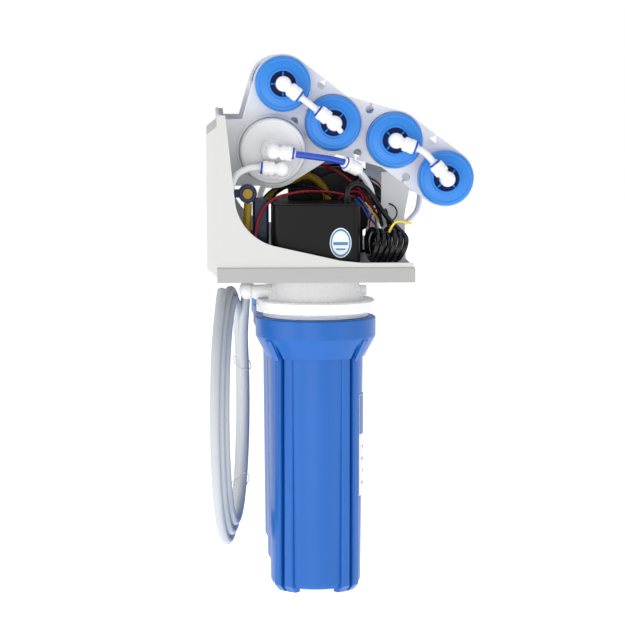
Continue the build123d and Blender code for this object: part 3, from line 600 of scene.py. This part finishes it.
@dataclass
class FilterRack:
    """In-line filter caps, clip rims and the membrane housing's two ends."""

    palette: Palette
    rings: RibRings
    filters: tuple[Pair, ...] = ((-74.5, 59.6), (-123.7, 21.6), (-183.8, 4.7), (-233.7, -32.4))
    membrane: Pair = (-64.3, -5.4)
    end_x: float = -150.0
    plate_x: float = -129.0
    cap_profile: tuple[Pair, ...] = (
        (0.0, -1.2), (6.6, -1.2), (7.4, -1.8), (7.6, -7.5), (12.2, -7.5), (12.4, -7.0), (12.5, -0.6),
        (12.9, 0.0), (14.2, 0.0), (14.8, -0.5), (15.2, -1.4), (16.2, -1.7), (21.4, -1.3), (22.4, -1.8),
        (23.1, -1.4), (24.6, -1.5), (25.9, -2.5), (26.8, -4.2), (27.15, -6.5), (27.15, -16.4), (26.6, -17.0),
        (27.15, -17.6), (27.15, -20.0), (0.0, -20.0))
    # a dark liner in each cap's pocket, painting in the shade of the recess
    pocket_shade_liner: tuple[Pair, ...] = ((7.65, -7.45), (7.65, -4.6), (12.35, -4.6), (12.35, -7.45), (7.65, -7.45))
    filter_rim: tuple[Pair, ...] = ((27.5, -0.2), (27.5, 2.4), (28.0, 2.9), (28.7, 2.9), (29.1, 2.4),
                                    (29.2, -0.2), (27.5, -0.2))
    membrane_rim: tuple[Pair, ...] = ((32.6, -0.2), (32.6, 2.8), (33.1, 3.3), (34.4, 3.3), (35.0, 2.8),
                                      (35.2, -0.2), (32.6, -0.2))
    membrane_face: tuple[Pair, ...] = (
        (0.0, 1.0), (9.2, 1.0), (9.8, 1.9), (11.4, 1.9), (12.0, 0.9), (13.2, 0.4), (24.0, 0.1), (27.4, 0.3),
        (28.2, 1.1), (29.6, 1.3), (31.1, 0.5), (31.7, -0.8), (0.0, -0.8))
    grips_x: float = 139.8

    def caps(self) -> None:
        """Builds the near caps with their lips and spokes, and dark liners in the pockets as painted shade.
        """
        places = [((self.end_x, y, z), TOWARDS_NEAR_END) for y, z in self.filters]
        caps = turned("filter_caps_near_turned", self.cap_profile, places, FINE_FACETS)
        self.palette.dress(caps, "cap_blue")
        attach(caps, "root")
        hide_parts("filter_caps_near")
        pocket_shade_liners = turned("filter_cap_pocket_shade", self.pocket_shade_liner, places)
        self.palette.dress(pocket_shade_liners, "pocket_painted_shade_blue")
        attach(pocket_shade_liners, "root")
        for name, phase, group in (("filter_cap_spokes_upright", 0.0, self.filters[:1]),
                                   ("filter_cap_spokes_slanted", 45.0, self.filters[1:])):
            spots = [((self.end_x + 2.0, y, z), TOWARDS_NEAR_END) for y, z in group]
            spokes = self.rings.make(name, spots, self.palette.material("cap_blue"), count=4,
                                     ring_radius=10.0, rib_radius=0.95, rib_length=5.2, sides=4, radial=1.0,
                                     phase=phase)
            self.palette.dress(spokes, "cap_blue")
            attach(spokes, "root")

    def rims(self) -> None:
        """Builds the raised rims of the near clip plate."""
        middle = [((self.plate_x, y, z), TOWARDS_NEAR_END) for y, z in self.filters[1:3]]
        rims = turned("clip_rims_filter", self.filter_rim, middle, FINE_FACETS)
        self.palette.dress(rims, "rack_plastic")
        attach(rims, "root")
        around = [((self.plate_x, *self.membrane), TOWARDS_NEAR_END)]
        rim = turned("clip_rim_membrane", self.membrane_rim, around, FINE_FACETS)
        self.palette.dress(rim, "rack_plastic")
        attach(rim, "root")

    def membrane_ends(self) -> None:
        """Builds the stepped rings on the membrane housing's near end and the grip ribs of its cap."""
        y, z = self.membrane
        end = [((self.end_x, y, z), TOWARDS_NEAR_END)]
        face = turned("membrane_end_rings", self.membrane_face, end, FINE_FACETS)
        self.palette.dress(face, "membrane_white")
        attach(face, "root")
        grips = self.rings.make("membrane_cap_grips", [((self.grips_x, y, z), TOWARDS_FAR_END)],
                                self.palette.material("white_plastic"), count=28, ring_radius=35.6,
                                rib_radius=1.1, rib_length=17.0)
        self.palette.dress(grips, "white_plastic")
        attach(grips, "root")

    def build(self) -> None:
        """Builds the whole rack's detail."""
        self.caps()
        self.rims()
        self.membrane_ends()
        LOG.info("filter rack built")


@dataclass
class PumpSet:
    """Bolts of the pump head, the ring of the hose collar and the transformer sticker's marks."""

    palette: Palette
    rings: RibRings
    axis_y: float = -131.0
    axis_z: float = -57.0
    head_x: float = -63.2
    cover_bolt: tuple[Pair, ...] = ((0.0, 1.9), (1.9, 1.9), (2.8, 1.1), (3.0, -0.3), (0.0, -0.3))
    cover_bolt_places: tuple[Point, ...] = ((-68.0, -89.5, -38.0), (-68.0, -89.5, -82.0))
    collar: Point = (-168.0, -39.7, -46.0)
    collar_ring: tuple[Pair, ...] = ((5.2, -0.4), (5.2, 0.8), (6.0, 1.5), (7.8, 1.5), (8.6, 0.8), (8.8, -0.4),
                                     (5.2, -0.4))
    collar_face: tuple[Pair, ...] = ((0.0, 0.5), (4.6, 0.5), (5.1, 0.1), (5.1, -0.3), (0.0, -0.3))
    sticker: Point = (-182.82, -128.7, -92.5)
    sticker_half: Pair = (9.6, 13.4)
    sticker_bands: tuple[tuple[float, float, float, float], ...] = (
        (1.0, 0.86, -1.0, 1.0), (0.74, 0.0, -0.16, 0.06), (0.66, 0.0, -0.52, -0.40))

    def build(self) -> None:
        """Builds the bolts, the collar's ring and face, and the sticker's marks."""
        head = [((self.head_x, self.axis_y, self.axis_z), TOWARDS_NEAR_END)]
        bolts = self.rings.make("pump_head_bolts", head, self.palette.material("screw_steel"), count=4,
                                ring_radius=24.0, rib_radius=3.1, rib_length=3.0, sides=6, phase=45.0)
        self.palette.dress(bolts, "screw_steel")
        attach(bolts, "root")
        spots = [(place, TOWARDS_NEAR_END) for place in self.cover_bolt_places]
        cover = turned("pump_cover_bolts", self.cover_bolt, spots, 24)
        self.palette.dress(cover, "screw_steel")
        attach(cover, "root")
        collar = turned("hose_collar_ring", self.collar_ring, [(self.collar, TOWARDS_NEAR_END)], 48)
        self.palette.dress(collar, "navy_plastic")
        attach(collar, "root")
        face = turned("hose_collar_face", self.collar_face, [(self.collar, TOWARDS_NEAR_END)], 48)
        self.palette.dress(face, "yellow_hose")
        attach(face, "root")
        self.sticker_marks()
        LOG.info("pump set built")

    def sticker_marks(self) -> None:
        """Builds the sticker's oval border and its two plain bars."""
        bm = bmesh.new()
        around = 64
        x, y, z = self.sticker
        half_wide, half_tall = self.sticker_half
        for outer, inner, low, high in self.sticker_bands:
            rows = []
            for depth in (0.0, -PRINT_THICKNESS):
                for reach in (outer, inner):
                    row = []
                    for k in range(around):
                        turn = math.tau * k / around
                        height = min(max(math.sin(turn) * reach, low), high)
                        corner = (x + depth, y + half_wide * reach * math.cos(turn), z + half_tall * height)
                        row.append(bm.verts.new(metres(corner)))
                    rows.append(row)
            for low_row, high_row in ((0, 1), (2, 3), (0, 2), (1, 3)):
                for k in range(around):
                    n = (k + 1) % around
                    bm.faces.new((rows[low_row][k], rows[low_row][n], rows[high_row][n], rows[high_row][k]))
        bmesh.ops.remove_doubles(bm, verts=bm.verts, dist=1e-6)
        bmesh.ops.dissolve_degenerate(bm, dist=1e-6, edges=bm.edges)
        bmesh.ops.recalc_face_normals(bm, faces=bm.faces)
        marks = finish_mesh("sticker_marks", bm)
        self.palette.dress(marks, "sticker_blue")
        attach(marks, "root")


class Run(Enum):
    """The kinds of short fixed wire behind the transformer: finish and diameter in millimetres."""

    RED = ("red_wire", 2.4)
    THIN_RED = ("red_wire", 1.7)
    BLACK = ("lead_black", 3.4)
    THIN_BLACK = ("lead_black", 1.5)
    BLUE = ("wire_blue", 1.6)
    YELLOW = ("tie_yellow", 1.5)


@dataclass
class Wiring:
    """The fixed wires between transformer, switches and pump."""

    palette: Palette
    runs: tuple[tuple[str, Run, tuple[Point, ...]], ...] = (
        ("wire_red_arc", Run.RED, (
            (-78, -93, -33), (-80, -97.5, -23.7), (-83, -103, -20.6), (-87, -111, -20.4), (-91, -121.5, -23),
            (-95, -133.5, -29.5), (-99, -146.2, -39.3), (-113, -155.9, -50.5), (-116, -165, -65.0),
            (-122, -173, -76.4))),
        ("wire_red_loop", Run.THIN_RED, (
            (-88, -148, -33), (-92, -153, -31), (-100, -161, -33.3), (-108, -170, -38),
            (-114, -175.2, -46.8), (-116, -172.9, -55.6), (-117, -166.7, -63.3), (-118, -161.5, -70.0),
            (-120, -160, -82))),
        ("wire_red_short", Run.THIN_RED, (
            (-112, -130, -54.2), (-113, -135, -50), (-114, -142, -46.3), (-115, -150, -46.6),
            (-116, -155, -52.9), (-117, -154, -61), (-119, -160, -71.5), (-122, -167, -80))),
        ("wire_black_inner", Run.BLACK, (
            (-114, -148, -36), (-117, -154, -38), (-121, -161, -46), (-124, -166.5, -58), (-127, -170.5, -69),
            (-131, -172, -80))),
        ("wire_black_outer", Run.BLACK, (
            (-108, -154, -32), (-113, -162, -37), (-119, -170, -48), (-123, -175, -60), (-128, -177.5, -71),
            (-132, -179, -82))),
        ("wire_black_pump", Run.BLACK, (
            (-80, -62, -58), (-84, -70, -48), (-88, -82, -42), (-92, -96, -41), (-94, -112, -44),
            (-96, -124, -52))),
        ("wire_black_switch", Run.THIN_BLACK, (
            (-135, -56, -52), (-134, -60, -45), (-128, -70, -42), (-118, -84, -43), (-108, -98, -47),
            (-104, -106, -55))),
        ("wire_black_loop", Run.THIN_BLACK, (
            (-118, -169, -62), (-122, -173, -58.5), (-126, -180, -57.6), (-130, -186, -61.8),
            (-132, -187, -68.5), (-133, -183, -74.3), (-133, -176, -76.5))),
        ("wire_blue_upper", Run.BLUE, (
            (-117, -149, -52), (-118, -151.5, -53.6), (-120, -154.8, -58), (-122, -158.2, -64),
            (-124, -162, -71))),
        ("wire_blue_lower", Run.BLUE, (
            (-115, -146, -54.2), (-117, -150, -57), (-120, -153.6, -62), (-122, -157, -68),
            (-124, -160, -74))),
        ("wire_yellow", Run.YELLOW, (
            (-120, -156, -57), (-122, -159.6, -61.3), (-124, -163.4, -67.1), (-126, -168.2, -72.8),
            (-128, -172, -80))))

    def build(self) -> None:
        """Builds every wire as a smooth mesh tube."""
        for name, kind, points in self.runs:
            finish, diameter = kind.value
            wire = tube(name, points, diameter)
            self.palette.dress(wire, finish)
            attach(wire, "root")
        LOG.info("%d wires built", len(self.runs))


@dataclass
class PureWaterLine:
    """The blue tube from the membrane and the union that takes it."""

    palette: Palette
    rings: RibRings
    route: tuple[Point, ...] = ((-160.0, -74.2, -6.7), (-160.0, -88.0, -8.4), (-160.0, -104.0, -10.6),
                                (-159.5, -120.0, -12.8), (-158.6, -131.0, -15.3), (-156.0, -137.0, -17.8))
    start: Point = (-158.6, -132.6, -15.8)
    end: Point = (-148.0, -149.2, -24.2)

    def build(self) -> None:
        """Builds the tube and the union with its collets and grip ribs."""
        blue = tube("pure_water_tube", self.route, 6.35)
        self.palette.dress(blue, "clip_blue")
        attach(blue, "root")
        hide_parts("blue_tube")
        along = Vector(self.end) - Vector(self.start)
        length = along.length
        axis = along.normalized()
        body = ((3.3, 0.0), (4.9, 0.0), (5.2, 0.5), (5.2, 1.6), (4.5, 1.8), (4.5, 2.6), (6.3, 2.7),
                (6.9, 3.3), (6.9, 7.4), (6.2, 7.9), (6.2, 9.6), (6.9, 10.1), (6.9, length - 3.4),
                (6.4, length - 2.8), (4.6, length - 2.6), (4.6, length), (3.3, length), (3.3, 0.0))
        union = turned("union_fitting_turned", body, [(self.start, axis)], 64)
        self.palette.dress(union, "white_plastic")
        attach(union, "root")
        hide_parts("union_fitting")
        clip = ((4.6, 1.75), (5.9, 1.75), (6.1, 2.1), (5.9, 2.55), (4.6, 2.55), (4.6, 1.75))
        clips = turned("union_lock_clip", clip, [(self.start, axis)], 48)
        self.palette.dress(clips, "clip_blue")
        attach(clips, "root")
        ribs = self.rings.make("union_ribs", [(Vector(self.start) + axis * 5.4, axis)],
                               self.palette.material("white_plastic"), count=16, ring_radius=6.8,
                               rib_radius=0.5, rib_length=3.4, sides=6)
        self.palette.dress(ribs, "white_plastic")
        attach(ribs, "root")
        LOG.info("pure water line built")


@dataclass
class PushFits:
    """Ribs round the nuts of the near push-fit elbows, and one elbow's stub."""

    palette: Palette
    rings: RibRings
    near: tuple[tuple[float, float, float, float], ...] = (
        (-74.5, 59.6, -49.2, -38.0), (-123.7, 21.6, 49.2, 38.0), (-183.8, 4.7, -0.9397, -0.342),
        (-233.7, -32.4, 0.6428, 0.766), (-64.3, -5.4, -0.992, -0.126), (-72.9, -23.1, 0.995, 0.1))
    x: float = -160.0

    def build(self) -> None:
        """Builds the nut ribs of the near elbows and the stub on the second elbow."""
        places = []
        for y, z, dy, dz in self.near:
            way = Vector((0.0, dy, dz)).normalized()
            for reach in (10.2, 15.4):
                places.append(((self.x, y + way.y * reach, z + way.z * reach), way))
        ribs = self.rings.make("elbow_nut_ribs_near", places, self.palette.material("white_plastic"),
                               count=14, ring_radius=6.75, rib_radius=0.55, rib_length=3.6, sides=6)
        self.palette.dress(ribs, "white_plastic")
        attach(ribs, "root")
        stub_way = Vector((0.0, -0.62, -0.78))
        stub = turned("elbow_stub", ((0.0, 11.4), (2.0, 11.4), (2.6, 10.8), (2.8, 5.0), (0.0, 5.0)),
                      [((self.x, *self.near[1][:2]), stub_way)], 32)
        self.palette.dress(stub, "white_plastic")
        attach(stub, "root")
        LOG.info("elbow ribs and stub built")


@dataclass
class SupplyHose:
    """The white hose that hangs in a loose coil behind the first housing."""

    palette: Palette
    diameter: float = 9.5
    entry: tuple[Point, ...] = ((-98.0, -40.0, -144.0), (-84.0, -40.0, -144.0), (-71.0, -39.6, -147.5),
                                (-52.0, -38.8, -160.0))
    centre: Point = (-84.0, -23.0, -270.5)
    half_x: float = 97.9
    half_z: float = 133.2
    step_in: float = 9.9
    lean: float = 0.14
    turns: float = 2.95
    start: float = 0.13
    per_turn: int = 16
    depth_start: float = -7.0
    depth_pitch: float = 3.6
    full_turns: float = 3.0
    tie_turns: Pair = (0.19, 0.37)

    def coil(self) -> list[Point]:
        """Returns the coil's control points in millimetres, from its inner turn outwards.

        The curve runs inside its control points, so they stand out by the gain that puts it on the strand.
        """
        gain = 1.0 / (0.75 + 0.25 * math.cos(math.tau / self.per_turn))
        cx, _, cz = self.centre
        count = round((self.turns - self.start) * self.per_turn)
        strands = [self.strand(self.start + k / self.per_turn) for k in range(count + 1)]
        return [(cx + (x - cx) * gain, y, cz + (z - cz) * gain) for x, y, z in strands]

    def build(self) -> None:
        """Builds the hose on its one smooth line."""
        hose = nurbs("supply_hose_run", [*self.entry, *self.coil()], self.diameter)
        self.palette.dress(hose, "hose_white_painted_shade")
        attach(hose, "root")
        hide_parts("supply_hose", "supply_hose_coil")
        ties = [self.tie(number, turn) for number, turn in enumerate(self.tie_turns, 1)]
        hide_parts("coil_ties")
        LOG.info("supply hose built")

    def strand(self, u: float) -> Point:
        """Returns where the coil's line is after u turns, in millimetres."""
        cx, cy, cz = self.centre
        shrink = self.step_in * (self.full_turns - u)
        angle = math.tau * u
        along = (self.half_x - shrink) * math.sin(angle)
        height = (self.half_z - shrink) * math.cos(angle)
        depth = cy - self.lean * along + self.depth_start + self.depth_pitch * u
        return (cx + along, depth, cz + height)

    def tie(self, number: int, turn: float) -> bpy.types.Object:
        """Builds one thin tie round the coil's far strands.

        Args:
            number: the tie's number from 1.
            turn: how far round a turn it sits.

        Returns:
            The tie, with a short tail.
        """
        inner, outer = Vector(self.strand(turn)), Vector(self.strand(turn + 2.0))
        middle = (inner + outer) / 2
        across = (outer - inner).normalized()
        side = Vector((self.lean, 1.0, 0.0)).normalized()
        half_wide, half_deep = (outer - inner).length / 2 + 5.6, 7.4
        gain = 1.12
        points = [middle + across * half_wide * math.cos(a) * gain + side * half_deep * math.sin(a) * gain
                  for a in (math.tau * k / 12 for k in range(13))]
        tail = points[-1] + across * 3.0 - side * 6.0
        piece = tube(f"coil_tie_{number}", [*points, tail, tail - side * 5.0], 1.0)
        self.palette.dress(piece, "clear_tie")
        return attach(piece, "root")


@dataclass
class MainsLead:
    """The black lead from the transformer, folded into a hank on the tray, and its plug."""

    palette: Palette
    diameter: float = 5.0
    entry: tuple[Point, ...] = (
        (-158.0, -136.0, -49.4), (-158.0, -136.0, -41.0), (-155.0, -144.0, -36.5), (-150.0, -155.0, -40.5),
        (-147.0, -163.0, -51.0), (-149.0, -171.0, -64.0), (-158.0, -179.0, -74.5))
    leave: tuple[Point, ...] = ((-128.5, -158.0, -107.0), (-115.0, -161.0, -105.0), (-100.0, -170.0, -104.5),
                                (-86.0, -183.0, -106.0), (-72.0, -183.0, -106.0))
    centre: Pair = (-160.25, -95.4)
    half: Pair = (29.0, 15.6)
    tie_route: tuple[Point, ...] = (
        (-178.0, -176.0, -82.0), (-181.0, -179.0, -74.5), (-184.0, -184.0, -71.5), (-188.0, -189.0, -72.0),
        (-188.5, -194.0, -74.0), (-189.0, -197.0, -73.0))
    first_y: float = -186.5
    pitch: float = 5.4
    turns: float = 5.25
    per_turn: int = 14
    start: float = 125.0 / 360.0
    lean: float = 5.2
    slack_x: float = 5.0
    slack_z: float = 2.6
    slack_shift: float = 1.5

    def hank(self) -> list[Point]:
        """Returns the hank's control points in millimetres."""
        cx, cz = self.centre
        found = []
        for k in range(round(self.turns * self.per_turn) + 1):
            u = k / self.per_turn
            angle = math.tau * (self.start + u)
            slack = 0.5 + 0.5 * math.sin(2.3 * u + 0.6)
            half_x, half_z = self.half[0] - self.slack_x * slack, self.half[1] - self.slack_z * slack
            sway = self.lean * math.cos(angle + 0.45) + 0.9 * math.sin(2.0 * angle)
            found.append((cx + half_x * math.cos(angle) - self.slack_shift * slack,
                          self.first_y + self.pitch * u + sway,
                          cz - self.slack_z * slack + half_z * math.sin(angle)))
        return found

    def build(self) -> None:
        """Builds the lead on its one smooth line."""
        lead = nurbs("mains_lead_run", [*self.entry, *self.hank(), *self.leave], self.diameter)
        self.palette.dress(lead, "lead_black")
        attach(lead, "root")
        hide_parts("mains_lead", "mains_hank")
        tie = tube("hank_tie", self.tie_route, 2.2)
        self.palette.dress(tie, "tie_yellow")
        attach(tie, "root")
        LOG.info("mains lead built")


@dataclass
class Studio:
    """Camera, soft lights, pale floor and the white surround."""

    camera_place: Point = (-2.6246, -0.0019, 0.0815)
    right: Point = (-0.0408, -0.9992, 0.0)
    up: Point = (0.0981, -0.0040, 0.9952)
    back: Point = (-0.9943, 0.0406, 0.0982)
    lens: float = 146.8
    floor_drop: float = 0.30
    lights: tuple[tuple[str, Point, float, float], ...] = field(default=(
        ("key", (-1.5, 2.0, 0.3), 1.4, 15.0), ("fill", (-1.4, -1.9, 0.1), 1.4, 4.2),
        ("top", (-0.3, -0.3, 2.2), 2.0, 11.0), ("low", (-2.2, 0.3, -0.35), 1.2, 5.0)))
    aim: Point = (0.0, -0.1, -0.15)
    ambient: float = 0.52
    floor_size: float = 12.0
    floor_glow: float = 0.8

    def build(self, low_z: float) -> None:
        """Builds the studio.

        Args:
            low_z: the object's lowest height, which the floor stays under.
        """
        scene = bpy.context.scene
        camera = new_object("camera", bpy.data.cameras.new("camera"))
        camera.data.lens = self.lens
        camera.data.clip_end = 50.0
        turn = Matrix((self.right, self.up, self.back)).transposed().to_4x4()
        camera.matrix_world = Matrix.Translation(self.camera_place) @ turn
        scene.camera = camera
        for name, place, size, power in self.lights:
            data = bpy.data.lights.new(name, "AREA")
            data.size, data.energy = size, power
            lamp = new_object(name, data)
            aim = (Vector(self.aim) - Vector(place)).to_track_quat("-Z", "Y")
            lamp.matrix_world = Matrix.Translation(place) @ aim.to_matrix().to_4x4()
        world = bpy.data.worlds.new("surround")
        scene.world = world
        world.use_nodes = True
        tree = world.node_tree
        background = tree.nodes["Background"]
        background.inputs["Color"].default_value = WHITE
        path = tree.nodes.new("ShaderNodeLightPath")
        seen = tree.nodes.new("ShaderNodeMapRange")
        seen.inputs["To Min"].default_value = self.ambient
        seen.inputs["To Max"].default_value = 1.0
        tree.links.new(path.outputs["Is Camera Ray"], seen.inputs["Value"])
        tree.links.new(seen.outputs["Result"], background.inputs["Strength"])
        scene.view_settings.view_transform = "Standard"
        bm = bmesh.new()
        bmesh.ops.create_grid(bm, x_segments=2, y_segments=2, size=self.floor_size)
        floor = finish_mesh("floor", bm, Matrix.Translation((0.0, 0.0, low_z - self.floor_drop)))
        pale = Finish("floor", (0.90, 0.90, 0.90), (0.88, 0.88, 0.88), 0.6).build("floor")
        shader = pale.node_tree.nodes["Principled BSDF"]
        shader.inputs["Emission Color"].default_value = WHITE
        shader.inputs["Emission Strength"].default_value = self.floor_glow
        floor.data.materials.append(pale)
        floor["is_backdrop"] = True


def dress_frame(frame: dict, palette: Palette) -> None:
    """Gives every carried-over node the finish its record slot names.

    Args:
        palette: the materials.
    """
    for entry in frame["record"]["subparts"]:
        node = frame["nodes"][entry["node"]]
        palette.dress(node, entry["material_slot"])


def main() -> None:
    """Builds the looks, sub-assembly by sub-assembly."""
    logging.basicConfig(level=logging.INFO)
    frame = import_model()
    cad_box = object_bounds()
    palette = Palette()
    rings = RibRings("rib_rings")
    dress_frame(frame, palette)
    Chassis(palette, frame["nodes"]).build()
    Housings(palette, rings).build()
    FilterRack(palette, rings).build()
    PumpSet(palette, rings).build()
    PushFits(palette, rings).build()
    PureWaterLine(palette, rings).build()
    Wiring(palette).build()
    SupplyHose(palette).build()
    MainsLead(palette).build()
    Studio().build(cad_box[0][2])


if __name__ == "__main__":
    main()
